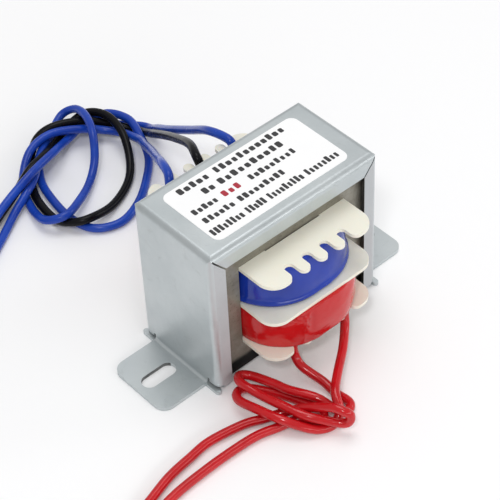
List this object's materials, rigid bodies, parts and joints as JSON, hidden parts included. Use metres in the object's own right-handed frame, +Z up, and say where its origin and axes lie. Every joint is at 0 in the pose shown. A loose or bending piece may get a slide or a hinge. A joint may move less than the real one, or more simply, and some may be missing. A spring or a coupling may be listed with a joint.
{
  "type": "laminated chassis transformer",
  "caption": "Small mains transformer with interleaved EI laminations and a two-section bobbin in a folded steel frame with slotted feet and loose flying leads.",
  "frame": {"origin": "on the mounting surface, under the middle of the core", "axes": "+X from foot to foot along the length, -Y towards the side where the red primary leads come out, +Z up from the mounting surface"},
  "size_m": [0.1211, 0.1296, 0.0423],
  "materials": {
    "zinc_plated_steel": "satin",
    "core_steel": "satin",
    "ivory_plastic": "semi-gloss",
    "copper": "enamelled",
    "red_tape": "gloss",
    "blue_tape": "gloss",
    "white_label": "satin",
    "red_insulation": "gloss",
    "blue_insulation": "gloss",
    "black_insulation": "gloss",
    "tinned_copper": "satin"
  },
  "bodies": {
    "root": {"mounting_frame": "zinc_plated_steel", "e_laminations": "core_steel", "i_laminations": "core_steel", "bobbin": "ivory_plastic", "primary_winding": "copper", "primary_tape": "red_tape", "secondary_winding": "copper", "secondary_tape": "blue_tape", "rating_label": "white_label", "primary_lead_left": "red_insulation", "primary_lead_right": "red_insulation", "secondary_lead_left": "blue_insulation", "secondary_lead_centre": "black_insulation", "secondary_lead_right": "blue_insulation", "primary_tinned_end_left": "tinned_copper", "primary_tinned_end_right": "tinned_copper", "secondary_tinned_end_left": "tinned_copper", "secondary_tinned_end_centre": "tinned_copper", "secondary_tinned_end_right": "tinned_copper"}
  },
  "joints": []
}
